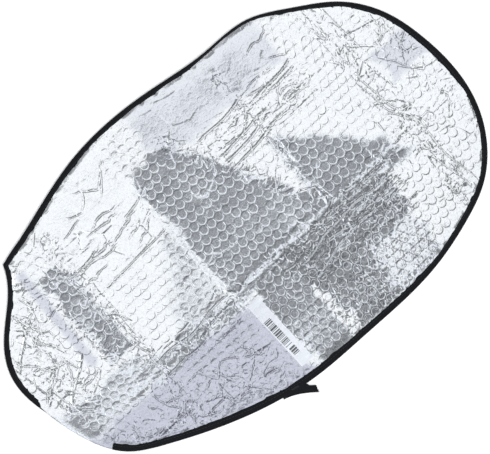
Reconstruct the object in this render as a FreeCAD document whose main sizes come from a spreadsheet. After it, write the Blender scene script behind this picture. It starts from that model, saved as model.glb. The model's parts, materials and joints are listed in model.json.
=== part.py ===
import FreeCAD, Part
import Sketcher
import math
import os
from FreeCAD import Vector

# A flat reflector pad: bubble film between two metallised films, with a folded tape sewn round its edge.
# It collapses by folding, like a map, on four set creases, so it is built as five panels.
# Origin: middle of the footprint, on the plane it rests on. +X along the length, +Y across, +Z up.

doc = FreeCAD.newDocument("reflector_pad")
sheet = doc.addObject("Spreadsheet::Sheet", "sizes")

# The outer edge, counted from its one sharp corner and round by the left end, as x, y in mm.
EDGE_POINTS = (
    ("shoulder", -222.0, 149.0),
    ("shoulder_foot", -246.0, 115.0),
    ("left_upper", -282.0, 82.0),
    ("left_brow", -300.0, 52.0),
    ("left_low", -298.0, -18.0),
    ("left_heel", -258.0, -105.0),
    ("left_heel_end", -229.0, -123.0),
    ("front_left", -43.0, -184.5),
    ("front_middle", 26.0, -187.0),
    ("front_right", 135.0, -184.5),
    ("right_heel", 200.0, -169.0),
    ("right_heel_end", 240.0, -152.0),
    ("right_low", 296.0, -81.0),
    ("right_high", 302.0, 20.0),
    ("right_brow", 290.0, 66.0),
    ("right_shoulder", 259.0, 111.0),
    ("right_shoulder_end", 215.0, 142.0),
    ("back_corner", 168.0, 166.5),
    ("back_right", 107.0, 171.5),
    ("back_middle", 35.0, 181.5),
    ("back_left", -82.0, 184.0),
    ("back_far_left", -164.0, 164.0),
)

SIZES = (
    # moves the edge points so that the origin is the middle of the whole footprint, tape end included
    ("centre_x", -0.73),
    ("centre_y", 6.17),
    # creases, and the gap left between two panels for the folded film
    ("left_end_crease", -168.0),
    ("left_inner_crease", -57.0),
    ("right_inner_crease", 98.0),
    ("right_end_crease", 228.0),
    ("crease_gap", 0.4),
    ("bay_margin", 20.0),
    ("bay_width", 460.0),
    ("bay_height", 20.0),
    ("half_length", 305.0),
    # edge tape, folded over the rim
    ("tape_thickness", 0.5),
    ("tape_width", 8.0),
    ("tape_height", 1.52),
    ("rim_inset", 0.6),
    ("seam_inset", 5.4),
    ("thread_width", 0.4),
    ("thread_height", 0.3),
    ("layer_clearance", 0.02),
    # films
    ("film_thickness", 0.12),
    ("cell_base_thickness", 0.14),
    ("cell_radius", 5.0),
    ("cell_height", 3.18),
    ("cell_pitch", 11.5),
    ("cell_row_pitch", 10.0),
    ("cell_edge_inset", 18.5),
    ("cell_crease_gap", 5.8),
    ("slope_outer_inset", 9.0),
    ("slope_inner_inset", 16.0),
    # printed label on the middle panel
    ("label_left", -51.0),
    ("label_front", -165.0),
    ("label_width", 17.0),
    ("label_length", 92.0),
    ("label_thickness", 0.1),
    # free end of the edge tape: two layers of tape that leave the rim and end in a slanted cut
    ("tail_root_x", -73.7),
    ("tail_root_y", -177.9),
    ("tail_angle", -42.6),
    ("tail_length", 27.4),
    ("tail_cut_slant", 2.8),
    ("tail_half_width", 4.3),
    ("tail_thickness", 1.0),
    ("tail_bottom", 0.3),
    ("tail_gap", 0.8),
    ("tack_centre_x", -73.0),
    ("tack_centre_y", -177.4),
    ("tack_length", 9.0),
    ("tack_width", 1.6),
)

PANELS = (
    ("left_end", None, "left_end_crease"),
    ("left_inner", "left_end_crease", "left_inner_crease"),
    ("centre", "left_inner_crease", "right_inner_crease"),
    ("right_inner", "right_inner_crease", "right_end_crease"),
    ("right_end", "right_end_crease", None),
)

# Heights of the layers above the resting plane, as sums of the sizes.
BACK_FILM_BOTTOM = "sizes.tape_thickness + sizes.layer_clearance"
BACK_FILM_TOP = BACK_FILM_BOTTOM + " + sizes.film_thickness"
CELL_BASE_BOTTOM = BACK_FILM_TOP + " + sizes.layer_clearance"
CELL_BASE_TOP = CELL_BASE_BOTTOM + " + sizes.cell_base_thickness"
RIM_FACE_BOTTOM = CELL_BASE_TOP + " + sizes.layer_clearance"
RIM_FACE_TOP = RIM_FACE_BOTTOM + " + sizes.film_thickness"
FACE_BOTTOM = CELL_BASE_TOP + " + sizes.cell_height + sizes.layer_clearance"
FACE_TOP = FACE_BOTTOM + " + sizes.film_thickness"
SEAM_BOTTOM = "sizes.tape_height + sizes.layer_clearance"

nodes = []


def fill_sheet():
    """Writes the edge points and the sizes to the sheet, one cell each, with an alias."""
    row = 0
    for name, x, y in EDGE_POINTS:
        for alias, value in (("edge_" + name + "_x", x), ("edge_" + name + "_y", y)):
            row += 1
            sheet.set("A%d" % row, alias)
            sheet.set("B%d" % row, str(value))
            sheet.setAlias("B%d" % row, alias)
    for alias, value in SIZES:
        row += 1
        sheet.set("A%d" % row, alias)
        sheet.set("B%d" % row, str(value))
        sheet.setAlias("B%d" % row, alias)
    doc.recompute()


def size(alias):
    """A size's value in mm, or in degrees for an angle."""
    return float(sheet.get(alias))


def height(expression):
    """The value of a sum of sizes, such as a layer's height."""
    terms = expression.replace("sizes.", "").split(" + ")
    return sum(size(term) for term in terms)


def edge_curve(inset):
    """The outer edge moved in by inset: one smooth curve that starts and ends at the shoulder's corner."""
    corners = []
    for name, _, _ in EDGE_POINTS:
        x = size("edge_" + name + "_x") + size("centre_x")
        y = size("edge_" + name + "_y") + size("centre_y")
        corners.append(Vector(x, y, 0))
    corners.append(corners[0])
    stations = [0.0]
    for before, after in zip(corners, corners[1:]):
        stations.append(stations[-1] + (after - before).Length)
    outer = Part.BSplineCurve()
    outer.interpolate(Points=corners, Parameters=stations)
    inward = []
    for station in stations:
        along = outer.tangent(station)[0]
        inward.append(Vector(-along.y, along.x, 0))
    # both ends meet at the corner, so there the move is along the mitre
    first, last = inward[0], inward[-1]
    mitre = (first + last) / (1 + first.dot(last))
    inward[0] = mitre
    inward[-1] = mitre
    moved = [corner + step * inset for corner, step in zip(corners, inward)]
    curve = Part.BSplineCurve()
    curve.interpolate(Points=moved, Parameters=stations)
    return curve


def edge_wire(name, inset):
    """The outer edge moved in by inset, as a closed line in the document."""
    wire = doc.addObject("Part::Feature", name)
    wire.Shape = Part.Wire([edge_curve(inset).toShape()])
    wire.Placement = FreeCAD.Placement()
    return wire


def prism(name, wire, bottom, top):
    """A solid of the wire's outline between two heights."""
    solid = doc.addObject("Part::Extrusion", name)
    solid.Base = wire
    solid.DirMode = "Custom"
    solid.Dir = Vector(0, 0, 1)
    solid.Solid = True
    solid.setExpression("LengthFwd", top)
    solid.setExpression("LengthRev", "-(" + bottom + ")")
    return solid


def cut(name, base, tool):
    """The base less the tool."""
    result = doc.addObject("Part::Cut", name)
    result.Base = base
    result.Tool = tool
    result.Refine = False
    return result


def panel_bay(panel, left_crease, right_crease):
    """The space between two creases, less half a gap at each."""
    bay = doc.addObject("Part::Box", panel + "_bay")
    left = "-sizes.half_length - sizes.bay_margin"
    if left_crease:
        left = "sizes." + left_crease + " + sizes.crease_gap / 2"
    right = "sizes.half_length + sizes.bay_margin"
    if right_crease:
        right = "sizes." + right_crease + " - sizes.crease_gap / 2"
    bay.setExpression("Placement.Base.x", left)
    bay.setExpression("Placement.Base.y", "-sizes.bay_width / 2")
    bay.setExpression("Placement.Base.z", "-sizes.bay_height / 2")
    bay.setExpression("Length", right + " - (" + left + ")")
    bay.setExpression("Width", "sizes.bay_width")
    bay.setExpression("Height", "sizes.bay_height")
    return bay


def keep(node, label):
    """Lists an object as one of the pad's pieces, under the name its file gets."""
    node.Label = label
    nodes.append(node)
    return node


def common(name, base, tool):
    """What the base and the tool share."""
    result = doc.addObject("Part::Common", name)
    result.Base = base
    result.Tool = tool
    result.Refine = False
    return result


def split_into_panels(layer, layer_name, bays):
    """One piece for each panel's share of a layer."""
    shares = {}
    for panel, bay in bays.items():
        name = panel + "_" + layer_name
        shares[panel] = keep(common(name, layer, bay), name)
    return shares


def edge_tape(bays):
    """A tape folded over the rim: a channel that is open towards the middle of the pad."""
    outside = prism("tape_outside", edge_wire("tape_outer_line", 0), "0", "sizes.tape_height")
    fold_line = edge_wire("tape_fold_line", size("tape_thickness"))
    fold = prism("tape_fold", fold_line, "sizes.tape_thickness", "sizes.tape_height - sizes.tape_thickness")
    inner_line = edge_wire("tape_inner_line", size("tape_width"))
    middle = prism("tape_middle", inner_line, "-sizes.tape_height", "2 * sizes.tape_height")
    channel = cut("edge_tape", cut("tape_folded", outside, fold), middle)
    split_into_panels(channel, "edge_tape", bays)


def seam(bays):
    """The sewing thread's run along the top of the tape."""
    outer_line = edge_wire("seam_outer_line", size("seam_inset"))
    inner_line = edge_wire("seam_inner_line", size("seam_inset") + size("thread_width"))
    top = SEAM_BOTTOM + " + sizes.thread_height"
    outside = prism("seam_outside", outer_line, SEAM_BOTTOM, top)
    inside = prism("seam_inside", inner_line, "0", top + " + sizes.thread_height")
    split_into_panels(cut("seam_thread", outside, inside), "seam_thread", bays)


def back_film(bays):
    """The flat film that closes the pad underneath."""
    rim_line = edge_wire("back_rim_line", size("rim_inset"))
    film = prism("back_film", rim_line, BACK_FILM_BOTTOM, BACK_FILM_TOP)
    return split_into_panels(film, "back_film", bays)


def cushion(name, rim_inset, bottom, drop):
    """The pad's outer form: flat at the rim under the tape, then sloping up to the full thickness."""
    rim_line = edge_wire(name + "_rim_line", rim_inset)
    rim = prism(name + "_rim", rim_line, bottom, RIM_FACE_TOP + " - " + drop)
    foot_line = edge_wire(name + "_foot_line", size("slope_outer_inset"))
    foot_line.setExpression("Placement.Base.z", RIM_FACE_BOTTOM + " - " + drop)
    crown_line = edge_wire(name + "_crown_line", size("slope_inner_inset"))
    crown_line.setExpression("Placement.Base.z", FACE_TOP + " - " + drop)
    slope = doc.addObject("Part::Loft", name + "_slope")
    slope.Sections = [foot_line, crown_line]
    slope.Solid = True
    slope.Ruled = True
    form = doc.addObject("Part::Fuse", name)
    form.Base = rim
    form.Tool = slope
    form.Refine = False
    return form


def face_film(bays):
    """A panel's film is its outer form, less the same form one film lower."""
    upper = cushion("film_upper", size("rim_inset"), RIM_FACE_BOTTOM, "0")
    # the lower form reaches a little past the rim and the floor of the upper one, so that it cuts clean through
    lower = cushion("film_lower", size("rim_inset") / 2, BACK_FILM_BOTTOM, "sizes.film_thickness")
    for panel, bay in bays.items():
        share = common(panel + "_film_upper", upper, bay)
        keep(cut(panel + "_face_film", share, lower), panel + "_face_film")


def inside_polygon(point, polygon):
    """Whether a point is inside a polygon: a ray from it crosses the sides an odd number of times."""
    inside = False
    for here, there in zip(polygon, polygon[1:] + polygon[:1]):
        if (here.y > point.y) != (there.y > point.y):
            crossing = here.x + (point.y - here.y) * (there.x - here.x) / (there.y - here.y)
            if point.x < crossing:
                inside = not inside
    return inside


def cell_centres(left, right, allowed):
    """Centres of the air cells between two creases, in staggered rows."""
    pitch = size("cell_pitch")
    row_pitch = size("cell_row_pitch")
    rows = int(size("bay_width") / row_pitch / 2)
    columns = int(size("half_length") / pitch) + 1
    centres = []
    for row in range(-rows, rows + 1):
        stagger = pitch / 2 * (row % 2)
        for column in range(-columns, columns + 1):
            centre = Vector(column * pitch + stagger, row * row_pitch, 0)
            clear = left + size("cell_crease_gap") < centre.x < right - size("cell_crease_gap")
            if clear and inside_polygon(centre, allowed):
                centres.append(centre)
    return centres


def circle_wire(centre, radius, level):
    """A level circle as a closed line."""
    circle = Part.Circle(Vector(centre.x, centre.y, level), Vector(0, 0, 1), radius)
    return Part.Wire([circle.toShape()])


def cap_face(centre, radius, level, from_angle):
    """The top of a sphere, above a latitude."""
    sphere = Part.Sphere()
    sphere.Radius = radius
    sphere.Center = Vector(centre.x, centre.y, level)
    return sphere.toShape(0, 2 * math.pi, from_angle, math.pi / 2)


def holed_face(outline, holes):
    """A level face with a round hole for each air cell."""
    return Part.makeFace([outline] + holes, "Part::FaceMakerBullseye")


def cell_film(panel, left, right, outline, allowed):
    """Thermoformed film: a flat base with one domed air cell after another, open underneath."""
    bottom = height(CELL_BASE_BOTTOM)
    top = height(CELL_BASE_TOP)
    rim_radius = size("cell_radius")
    dome_height = size("cell_height")
    outer_radius = (rim_radius ** 2 + dome_height ** 2) / (2 * dome_height)
    centre_level = top + dome_height - outer_radius
    inner_radius = outer_radius - size("cell_base_thickness")
    inner_rim_radius = math.sqrt(inner_radius ** 2 - (bottom - centre_level) ** 2)
    outer_angle = math.asin((top - centre_level) / outer_radius)
    inner_angle = math.asin((bottom - centre_level) / inner_radius)
    low_outline = outline.copy()
    low_outline.translate(Vector(0, 0, bottom - outline.BoundBox.ZMin))
    high_outline = low_outline.copy()
    high_outline.translate(Vector(0, 0, top - bottom))
    centres = cell_centres(left, right, allowed)
    faces = list(low_outline.extrude(Vector(0, 0, top - bottom)).Faces)
    faces.append(holed_face(high_outline, [circle_wire(c, rim_radius, top) for c in centres]))
    faces.append(holed_face(low_outline, [circle_wire(c, inner_rim_radius, bottom) for c in centres]))
    for centre in centres:
        faces.append(cap_face(centre, outer_radius, centre_level, outer_angle))
        faces.append(cap_face(centre, inner_radius, centre_level, inner_angle))
    shell = Part.makeShell(faces)
    shell.sewShape()
    solid = Part.makeSolid(shell)
    if solid.Volume < 0:
        solid.reverse()
    film = doc.addObject("Part::Feature", panel + "_bubble_film")
    film.Shape = solid
    film.Placement = FreeCAD.Placement()
    keep(film, panel + "_bubble_film")


def bubble_film(back_films):
    """The film of air cells, which lies on the back film and has the same outline on each panel."""
    doc.recompute()
    limit = edge_curve(size("cell_edge_inset")).discretize(240)
    for panel, left_crease, right_crease in PANELS:
        left = size(left_crease) if left_crease else -size("half_length")
        right = size(right_crease) if right_crease else size("half_length")
        top_face = max(back_films[panel].Shape.Faces, key=lambda face: face.CenterOfMass.z)
        cell_film(panel, left, right, top_face.OuterWire, limit)


def printed_label():
    """The thin strip stuck along the middle panel's left side."""
    label = doc.addObject("Part::Box", "printed_label")
    label.setExpression("Length", "sizes.label_width")
    label.setExpression("Width", "sizes.label_length")
    label.setExpression("Height", "sizes.label_thickness")
    label.setExpression("Placement.Base.x", "sizes.label_left + sizes.centre_x")
    label.setExpression("Placement.Base.y", "sizes.label_front + sizes.centre_y")
    label.setExpression("Placement.Base.z", FACE_TOP + " + sizes.layer_clearance")
    keep(label, "printed_label")


def origin_plane(body, role):
    """One of a body's own origin planes."""
    for feature in body.Origin.OriginFeatures:
        if feature.Role == role:
            return feature


def tape_tail():
    """The tape's free end, drawn along its own length and cut off short of the tape it comes from."""
    body = doc.addObject("PartDesign::Body", "tail_strip")
    outline = body.newObject("Sketcher::SketchObject", "tail_outline")
    outline.AttachmentSupport = [(origin_plane(body, "XY_Plane"), "")]
    outline.MapMode = "FlatFace"
    length = size("tail_length")
    slant = size("tail_cut_slant")
    half = size("tail_half_width")
    corners = [
        Vector(0, -half, 0),
        Vector(length, -half, 0),
        Vector(length - slant, half, 0),
        Vector(0, half, 0),
    ]
    # each corner's distance along the strip, where it isn't zero, and across it
    rules = (
        (None, "-sizes.tail_half_width"),
        ("sizes.tail_length", "-sizes.tail_half_width"),
        ("sizes.tail_length - sizes.tail_cut_slant", "sizes.tail_half_width"),
        (None, "sizes.tail_half_width"),
    )
    for here, there in zip(corners, corners[1:] + corners[:1]):
        outline.addGeometry(Part.LineSegment(here, there), False)
    for side in range(len(corners)):
        outline.addConstraint(Sketcher.Constraint("Coincident", side, 2, (side + 1) % len(corners), 1))
    for side, (along, across) in enumerate(rules):
        if along:
            rule = outline.addConstraint(Sketcher.Constraint("DistanceX", -1, 1, side, 1, corners[side].x))
            outline.setExpression("Constraints[%d]" % rule, along)
        else:
            outline.addConstraint(Sketcher.Constraint("PointOnObject", side, 1, -2))
        rule = outline.addConstraint(Sketcher.Constraint("DistanceY", -1, 1, side, 1, corners[side].y))
        outline.setExpression("Constraints[%d]" % rule, across)
    strip = body.newObject("PartDesign::Pad", "tail_layers")
    strip.Profile = outline
    strip.setExpression("Length", "sizes.tail_thickness")
    body.setExpression("Placement.Base.x", "sizes.tail_root_x + sizes.centre_x")
    body.setExpression("Placement.Base.y", "sizes.tail_root_y + sizes.centre_y")
    body.setExpression("Placement.Base.z", "sizes.tail_bottom")
    body.setExpression("Placement.Rotation.Angle", "sizes.tail_angle")
    clear_line = edge_wire("tail_clear_line", -size("tail_gap"))
    clear_of_rim = prism("tail_clear_of_rim", clear_line, "-sizes.tape_height", "2 * sizes.tape_height")
    keep(cut("tape_tail", body, clear_of_rim), "tape_tail")


def tail_tack():
    """The bar of stitches that holds the tape's free end at the rim."""
    tack = doc.addObject("Part::Box", "tail_tack")
    tack.setExpression("Length", "sizes.tack_length")
    tack.setExpression("Width", "sizes.tack_width")
    tack.setExpression("Height", "sizes.thread_height")
    tack.setExpression("Placement.Base.x", "sizes.tack_centre_x + sizes.centre_x - sizes.tack_length / 2")
    tack.setExpression("Placement.Base.y", "sizes.tack_centre_y + sizes.centre_y - sizes.tack_width / 2")
    tack.setExpression("Placement.Base.z", SEAM_BOTTOM)
    keep(tack, "tail_tack")


def check_document():
    """Stops the script if an object failed or a piece has no sound solid."""
    for item in doc.Objects:
        if "Invalid" in item.State or "Error" in item.State:
            raise RuntimeError(item.Name + " failed: " + ", ".join(item.State))
    for node in nodes:
        if node.Shape.isNull() or not node.Shape.isValid():
            raise RuntimeError(node.Label + " has no valid shape")
        if not node.Shape.Solids:
            raise RuntimeError(node.Label + " holds no solid")


fill_sheet()
bays = {}
for panel, left_crease, right_crease in PANELS:
    bays[panel] = panel_bay(panel, left_crease, right_crease)
edge_tape(bays)
seam(bays)
back_films = back_film(bays)
face_film(bays)
bubble_film(back_films)
printed_label()
tape_tail()
tail_tack()
doc.recompute()
check_document()

os.makedirs("parts", exist_ok=True)
for node in nodes:
    node.Shape.exportStep(os.path.join("parts", node.Label + ".step"))
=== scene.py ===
"""Looks of a folding reflector pad: metallised bubble film with a black tape sewn over its rim.

Lengths are in millimetres until a mesh is made. Each use of a noise function has its own seed, so that
no two patterns line up.
"""
import json
import math

import bpy
import numpy as np
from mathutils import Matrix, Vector

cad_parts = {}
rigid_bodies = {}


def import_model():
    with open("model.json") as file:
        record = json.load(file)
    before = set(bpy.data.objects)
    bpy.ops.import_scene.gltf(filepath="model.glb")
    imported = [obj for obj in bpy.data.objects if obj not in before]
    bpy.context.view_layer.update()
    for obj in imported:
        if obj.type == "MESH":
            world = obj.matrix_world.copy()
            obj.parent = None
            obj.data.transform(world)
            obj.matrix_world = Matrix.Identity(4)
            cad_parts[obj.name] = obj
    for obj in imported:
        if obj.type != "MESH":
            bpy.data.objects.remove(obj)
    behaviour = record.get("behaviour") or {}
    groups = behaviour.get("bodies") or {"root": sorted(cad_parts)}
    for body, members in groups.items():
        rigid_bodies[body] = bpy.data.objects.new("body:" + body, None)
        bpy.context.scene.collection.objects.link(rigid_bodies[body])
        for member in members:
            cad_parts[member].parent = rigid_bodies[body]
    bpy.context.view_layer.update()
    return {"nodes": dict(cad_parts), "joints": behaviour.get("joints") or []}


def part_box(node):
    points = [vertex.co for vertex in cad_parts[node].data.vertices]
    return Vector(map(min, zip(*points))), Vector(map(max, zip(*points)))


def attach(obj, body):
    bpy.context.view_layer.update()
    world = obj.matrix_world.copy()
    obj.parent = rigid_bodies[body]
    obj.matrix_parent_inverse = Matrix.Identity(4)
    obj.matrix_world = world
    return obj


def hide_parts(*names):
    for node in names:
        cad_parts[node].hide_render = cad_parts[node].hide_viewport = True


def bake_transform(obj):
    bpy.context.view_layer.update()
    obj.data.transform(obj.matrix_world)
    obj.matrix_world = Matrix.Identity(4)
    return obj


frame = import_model()

MM = 0.001
PANELS = ("left_end", "left_inner", "centre", "right_inner", "right_end")
HINGES = {joint["name"]: joint for joint in frame["joints"]}
CREASES = ("left_end", "left_inner", "right_inner", "right_end")
CREASE_X = [HINGES[crease + "_fold"]["pos_m"][0] / MM for crease in CREASES]
LEFT_END, LEFT_INNER, RIGHT_INNER, RIGHT_END = CREASE_X

# heights of the layers at rest, from the CAD nodes
BACK_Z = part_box("centre_back_film")[0].z / MM
FACE_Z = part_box("centre_face_film")[1].z / MM
RIM_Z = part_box("centre_bubble_film")[0].z / MM + 0.3
TAPE_TOP_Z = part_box("centre_edge_tape")[1].z / MM
TAPE_THICKNESS = 0.45


# ---- repeatable noise

LARGEST_WORD = 0xFFFFFFFF


def cell_random(column, row, seed):
    """A repeatable number from 0 to 1 for each cell of a lattice."""
    mix = (column * 374761393 + row * 668265263 + seed * 974634777) & LARGEST_WORD
    mix = ((mix ^ (mix >> 13)) * 1274126177) & LARGEST_WORD
    mix = mix ^ (mix >> 16)
    return mix / LARGEST_WORD


def smoothstep(low, high, value):
    share = np.clip((value - low) / (high - low), 0.0, 1.0)
    return share * share * (3.0 - 2.0 * share)


def noise(x, y, size, seed):
    """Smooth noise from -1 to 1, with features about one size across."""
    u, v = x / size, y / size
    column, row = np.floor(u).astype(np.int64), np.floor(v).astype(np.int64)
    fu, fv = u - column, v - row
    fu = fu * fu * fu * (fu * (fu * 6 - 15) + 10)
    fv = fv * fv * fv * (fv * (fv * 6 - 15) + 10)
    low = cell_random(column, row, seed) * (1 - fu) + cell_random(column + 1, row, seed) * fu
    high = cell_random(column, row + 1, seed) * (1 - fu) + cell_random(column + 1, row + 1, seed) * fu
    return 2.0 * (low * (1 - fv) + high * fv) - 1.0


def turned(x, y, degrees, stretch):
    """Coordinates along and across a direction; features come out stretched along it."""
    angle = math.radians(degrees)
    along = (x * math.cos(angle) + y * math.sin(angle)) / stretch
    across = y * math.cos(angle) - x * math.sin(angle)
    return along, across


def facets(x, y, size, seed, degrees=0.0, stretch=1.0, sharp=26.0):
    """Crumpled film, from about -0.25 to 0.25: tilted flat facets with crisp folds between them."""
    along, across = turned(x, y, degrees, stretch)
    u, v = along / size, across / size
    column, row = np.floor(u).astype(np.int64), np.floor(v).astype(np.int64)
    total, weight = np.zeros_like(u), np.zeros_like(u)
    for step_u in (-1, 0, 1):
        for step_v in (-1, 0, 1):
            cu, cv = column + step_u, row + step_v
            pu = u - cu - cell_random(cu, cv, seed)
            pv = v - cv - cell_random(cu, cv, seed + 1)
            share = np.exp(-sharp * (pu * pu + pv * pv)) + 1e-12
            tilt_u = cell_random(cu, cv, seed + 2) - 0.5
            tilt_v = cell_random(cu, cv, seed + 3) - 0.5
            total += share * (pu * tilt_u + pv * tilt_v)
            weight += share
    return total / weight


def ridges(x, y, width, length, degrees, seed, thin=3.0):
    """Long crisp wrinkles that run along one direction, from 0 to 1."""
    bent_x = x + 9.0 * noise(x, y, 45.0, seed + 11)
    bent_y = y + 4.0 * noise(x, y, 38.0, seed + 12)
    along, across = turned(bent_x, bent_y, degrees, length / width)
    value = np.abs(noise(along, across, width, seed))
    return np.clip(1.0 - thin * value, 0.0, 1.0)


def band(x, y, start, end, half_width):
    """1 on a line from start to end, falling to 0 a half width away."""
    (x0, y0), (x1, y1) = start, end
    dx, dy = x1 - x0, y1 - y0
    share = np.clip(((x - x0) * dx + (y - y0) * dy) / (dx * dx + dy * dy), 0.0, 1.0)
    away = np.hypot(x - x0 - share * dx, y - y0 - share * dy)
    return 1.0 - smoothstep(0.25 * half_width, half_width, away)


def cracks(x, y, middle, spread, degrees, swing, length, count, seed):
    """Single thin wrinkles, scattered round a middle, each at its own angle: 1 on a line, 0 beside it."""
    half_thickness = 1.5
    total = np.zeros_like(x)
    bent_x = x + 4.5 * noise(x, y, 21.0, seed + 1) + 1.1 * noise(x, y, 6.0, seed + 2)
    bent_y = y + 4.5 * noise(x, y, 21.0, seed + 3) + 1.1 * noise(x, y, 6.0, seed + 4)
    for number in range(count):
        chance = [2.0 * cell_random(number, place, seed) - 1.0 for place in range(4)]
        reach = length * (0.65 + 0.35 * chance[3]) / 2
        at_x, at_y = middle[0] + spread[0] * chance[0], middle[1] + spread[1] * chance[1]
        along, across = turned(bent_x - at_x, bent_y - at_y, degrees + swing * chance[2], 1.0)
        taper = np.clip(1.0 - (along / reach) ** 2, 0.0, 1.0)
        total = np.maximum(total, taper * (1.0 - smoothstep(0.0, half_thickness, np.abs(across))))
    return total


def zone(x, y, corners, soft):
    """1 inside a convex outline, given anticlockwise, and 0 outside, with a soft border."""
    inside = np.full_like(x, 1e9)
    for (x0, y0), (x1, y1) in zip(corners, corners[1:] + corners[:1]):
        dx, dy = x1 - x0, y1 - y0
        inside = np.minimum(inside, ((y - y0) * dx - (x - x0) * dy) / math.hypot(dx, dy))
    return smoothstep(-soft, soft, inside)


# ---- the rim, from the CAD tape

# the rim line starts where the tape is rolled under, so that its ends meet out of sight
RIM_START_ANGLE = -2.98
RIM_SPACING = 0.75
RAY_COUNT = 3600
RAY_BATCH = 100


def floor_edges():
    """The start and end points of those edges of the CAD tape that lie on the floor."""
    starts, ends = [], []
    for panel in PANELS:
        mesh = frame["nodes"][panel + "_edge_tape"].data
        co = np.zeros(len(mesh.vertices) * 3, np.float32)
        mesh.vertices.foreach_get("co", co)
        co = co.reshape(-1, 3) / MM
        pairs = np.zeros(len(mesh.edges) * 2, np.int32)
        mesh.edges.foreach_get("vertices", pairs)
        pairs = pairs.reshape(-1, 2)
        flat = (co[pairs[:, 0], 2] < 0.05) & (co[pairs[:, 1], 2] < 0.05)
        starts.append(co[pairs[flat, 0], :2])
        ends.append(co[pairs[flat, 1], :2])
    return np.concatenate(starts).astype(float), np.concatenate(ends).astype(float)


def node_outline():
    """The pad's outer edge, anticlockwise and closed: the CAD tape's farthest reach in each direction."""
    start, end = floor_edges()
    angles = RIM_START_ANGLE + np.linspace(0.0, 2 * math.pi, RAY_COUNT, endpoint=False)
    reach = np.zeros(RAY_COUNT)
    side = end - start
    for first in range(0, RAY_COUNT, RAY_BATCH):
        ray_x = np.cos(angles[first:first + RAY_BATCH])[:, None]
        ray_y = np.sin(angles[first:first + RAY_BATCH])[:, None]
        turn = ray_x * side[:, 1] - ray_y * side[:, 0]
        turn = np.where(np.abs(turn) < 1e-12, 1e-12, turn)
        far = (start[:, 0] * side[:, 1] - start[:, 1] * side[:, 0]) / turn
        share = (start[:, 0] * ray_y - start[:, 1] * ray_x) / turn
        hit = (share > -1e-6) & (share < 1 + 1e-6) & (far > 0)
        reach[first:first + RAY_BATCH] = np.where(hit, far, 0.0).max(1)
    # a ray that slips through the narrow gap between two panels takes its neighbours' reach
    nearby = np.max([np.roll(reach, shift) for shift in (-8, -4, 4, 8)], axis=0)
    missed = reach < nearby - 2.5
    reach[missed] = np.interp(angles[missed], angles[~missed], reach[~missed])
    return np.stack([reach * np.cos(angles), reach * np.sin(angles)], 1)


def evenly_spaced(line, spacing):
    """A closed line resampled at even steps along its length, and that length."""
    closed = np.vstack([line, line[:1]])
    length = np.r_[0, np.cumsum(np.hypot(*np.diff(closed, axis=0).T))]
    count = int(round(length[-1] / spacing))
    stations = np.linspace(0, length[-1], count, endpoint=False)
    return np.stack([np.interp(stations, length, closed[:, axis]) for axis in (0, 1)], 1), length[-1]


RIM, RIM_LENGTH = evenly_spaced(node_outline(), RIM_SPACING)
RIM_STEP = RIM_LENGTH / len(RIM)
# at each place on the rim: the length so far, the smoothed direction along and inwards, the turn from +X
RIM_S = np.arange(len(RIM)) * RIM_STEP
RIM_ALONG = sum(np.roll(RIM, shift - 2, 0) - np.roll(RIM, shift + 2, 0) for shift in range(-3, 4))
RIM_ALONG /= np.hypot(RIM_ALONG[:, 0], RIM_ALONG[:, 1])[:, None]
RIM_IN = np.stack([-RIM_ALONG[:, 1], RIM_ALONG[:, 0]], 1)
RIM_TURN = np.unwrap(np.arctan2(RIM[:, 1], RIM[:, 0]))

# how much of the tape shows round the rim: degrees from +X, and width.
# It is narrow on the upper right shoulder, and widest at the left foot.
TAPE_WIDTHS = ((0, 8.0), (30, 5.5), (54, 2.5), (68, 5.5), (135, 7.0), (150, 5.5), (230, 9.0), (300, 7.0),
               (345, 6.0), (360, 8.0))
# the tape is rolled under the pad at the lower left: where that begins, where it is complete, where it ends
TUCK_POINTS = ((-303.0, 36.0), (-301.0, -12.0), (-269.0, -79.0))


def tape_cover():
    """How much of the tape shows at each place on the rim, and how far it is rolled under (0 to 1)."""
    level = RIM_S * 0
    wobble = noise(RIM_S, level, 23.0, seed=5) * 0.7 + noise(RIM_S, level, 6.0, seed=6) * 0.35
    turns, widths = zip(*TAPE_WIDTHS)
    teeth = np.clip(1.0 - 5.0 * np.abs(noise(RIM_S, level, 11.0, seed=8)), 0.0, 1.0)
    width = np.interp(np.degrees(RIM_TURN) % 360, turns, widths) + 0.7 * wobble + 1.1 * teeth
    taper, start, end = (np.argmin(np.hypot(*(RIM - point).T)) for point in TUCK_POINTS)
    position = np.arange(len(RIM))
    rolled = (position > start) | (position <= end)
    rising = np.clip((position - taper) / (start - taper), 0.0, 1.0) ** 2
    return width, np.where(rolled, 1.0, rising)


TAPE_SHOWN, TUCK = tape_cover()
SEARCH_REACH = 60


def nearest_rim(x, y):
    """For each point, how far inside the rim it is and which rim place is nearest.

    The rim is star-shaped, so the nearest place is close to the one in the same direction from the middle.
    """
    px, py = x.ravel(), y.ravel()
    turn = RIM_TURN[0] + np.mod(np.arctan2(py, px) - RIM_TURN[0], 2 * math.pi)
    guess = np.searchsorted(RIM_TURN, turn) % len(RIM)
    place, best = guess, np.full(px.shape, 1e18)
    for offset in range(-SEARCH_REACH, SEARCH_REACH + 1):
        candidate = (guess + offset) % len(RIM)
        away = (RIM[candidate, 0] - px) ** 2 + (RIM[candidate, 1] - py) ** 2
        place = np.where(away < best, candidate, place)
        best = np.minimum(best, away)
    inset = (px - RIM[place, 0]) * RIM_IN[place, 0] + (py - RIM[place, 1]) * RIM_IN[place, 1]
    return inset.reshape(x.shape), place.reshape(x.shape)


# ---- the pad's form

CELL_PITCH = 11.5
CELL_ROW = CELL_PITCH * math.sqrt(3) / 2
CELL_RADIUS = 5.2

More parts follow.
